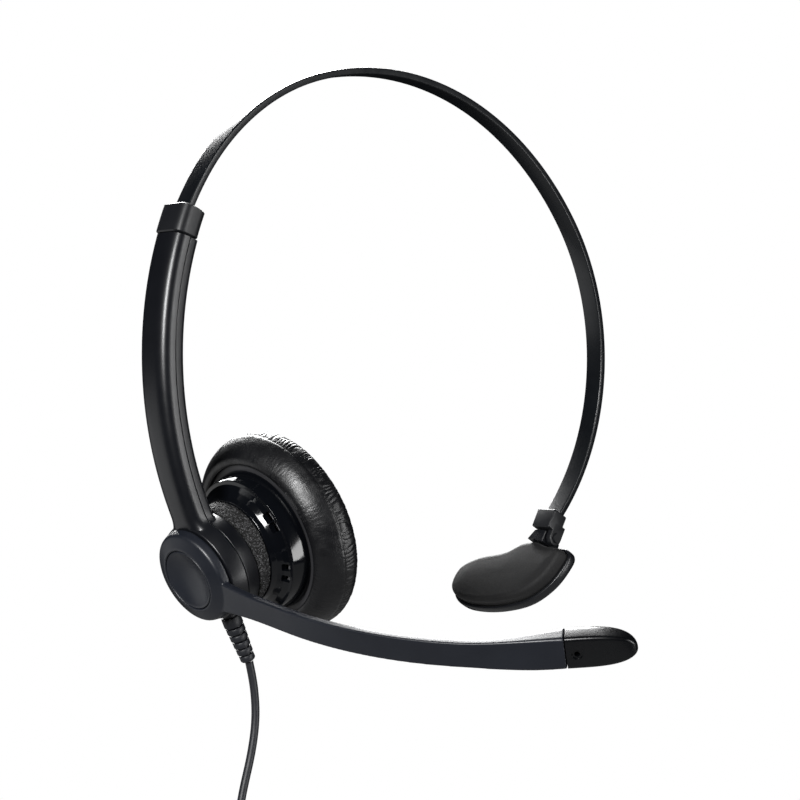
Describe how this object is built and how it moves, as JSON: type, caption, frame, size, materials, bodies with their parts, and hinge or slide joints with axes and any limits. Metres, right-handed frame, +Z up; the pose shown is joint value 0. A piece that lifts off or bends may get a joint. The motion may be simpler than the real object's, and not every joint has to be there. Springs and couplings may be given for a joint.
{
  "type": "office headset",
  "caption": "Single-ear office headset with a thin sprung headband, sliding arm, rotating microphone boom, padded ear cup, hinged temple pad and a cord with a modular plug.",
  "frame": {"origin": "underside of the headband at the crown of the head", "axes": "+Z up, +X from the ear cup towards the temple pad, -Y where the wearer looks"},
  "size_m": [0.1763, 0.1529, 0.2588],
  "materials": {
    "black_steel": "semi-gloss black enamel",
    "satin_plastic": "satin",
    "steel": "plain",
    "pad_fabric": "soft matte",
    "circuit_board": "green lacquer",
    "foam": "open-cell foam",
    "cord_rubber": "satin",
    "felt": "woven",
    "clear_plastic": "clear",
    "gold": "gold plated",
    "soft_touch": "soft-touch",
    "gloss_plastic": "gloss",
    "magnet": "dull",
    "film": "film",
    "leatherette": "soft grain"
  },
  "bodies": {
    "headband": {"headband": "black_steel", "temple_clamp": "satin_plastic", "temple_pin": "steel"},
    "temple_pad": {"temple_tray": "satin_plastic", "temple_pad": "pad_fabric"},
    "arm": {"arm_shell": "satin_plastic", "arm_cover": "satin_plastic", "adjuster_collar": "satin_plastic", "friction_spring": "steel", "arm_screw_1": "steel", "arm_screw_2": "steel", "arm_screw_3": "steel", "terminal_board": "circuit_board", "ball_stud": "steel", "foam_collar": "foam", "speaker_lead": "cord_rubber", "strain_relief": "cord_rubber", "cord": "cord_rubber", "cord_coil": "cord_rubber", "cord_tie": "felt", "plug_body": "clear_plastic", "plug_contact_1": "gold", "plug_contact_2": "gold", "plug_contact_3": "gold", "plug_contact_4": "gold"},
    "boom": {"boom": "soft_touch", "boom_cap": "soft_touch", "boom_axle": "satin_plastic", "axle_washer": "steel", "axle_clip": "steel", "mic_pod": "gloss_plastic", "mic_sleeve": "cord_rubber", "mic_capsule": "steel", "mic_felt": "felt"},
    "cup_swivel": {"ball_bush": "satin_plastic"},
    "ear_cup": {"cup_shell": "gloss_plastic", "vent_screen": "felt", "speaker_baffle": "satin_plastic", "speaker_frame": "satin_plastic", "speaker_magnet": "magnet", "speaker_diaphragm": "film", "grille_cloth": "felt", "ear_cushion": "leatherette"}
  },
  "joints": [
    {"name": "band_adjust", "type": "hinge", "parent": "headband", "child": "arm", "pos_m": [0.00381, 0, -0.07941], "axis": [0, 1, 0], "range_deg": [-12, 6.5]},
    {"name": "boom_rotate", "type": "hinge", "parent": "arm", "child": "boom", "pos_m": [-0.06634, 0, -0.14085], "axis": [0.915, 0, 0.4035], "range_deg": [-245, 35]},
    {"name": "cup_tilt", "type": "hinge", "parent": "arm", "child": "cup_swivel", "pos_m": [-0.05554, 0, -0.13609], "axis": [0, 1, 0], "range_deg": [-8, 8], "deforming": ["foam_collar"]},
    {"name": "cup_swivel", "type": "hinge", "parent": "cup_swivel", "child": "ear_cup", "pos_m": [-0.05554, 0, -0.13609], "axis": [-0.3173, 0, 0.9483], "range_deg": [-10, 10], "deforming": ["foam_collar"]},
    {"name": "pad_tilt", "type": "hinge", "parent": "headband", "child": "temple_pad", "pos_m": [0.06883, 0, -0.13745], "axis": [0, 1, 0], "range_deg": [-8, 8]}
  ]
}
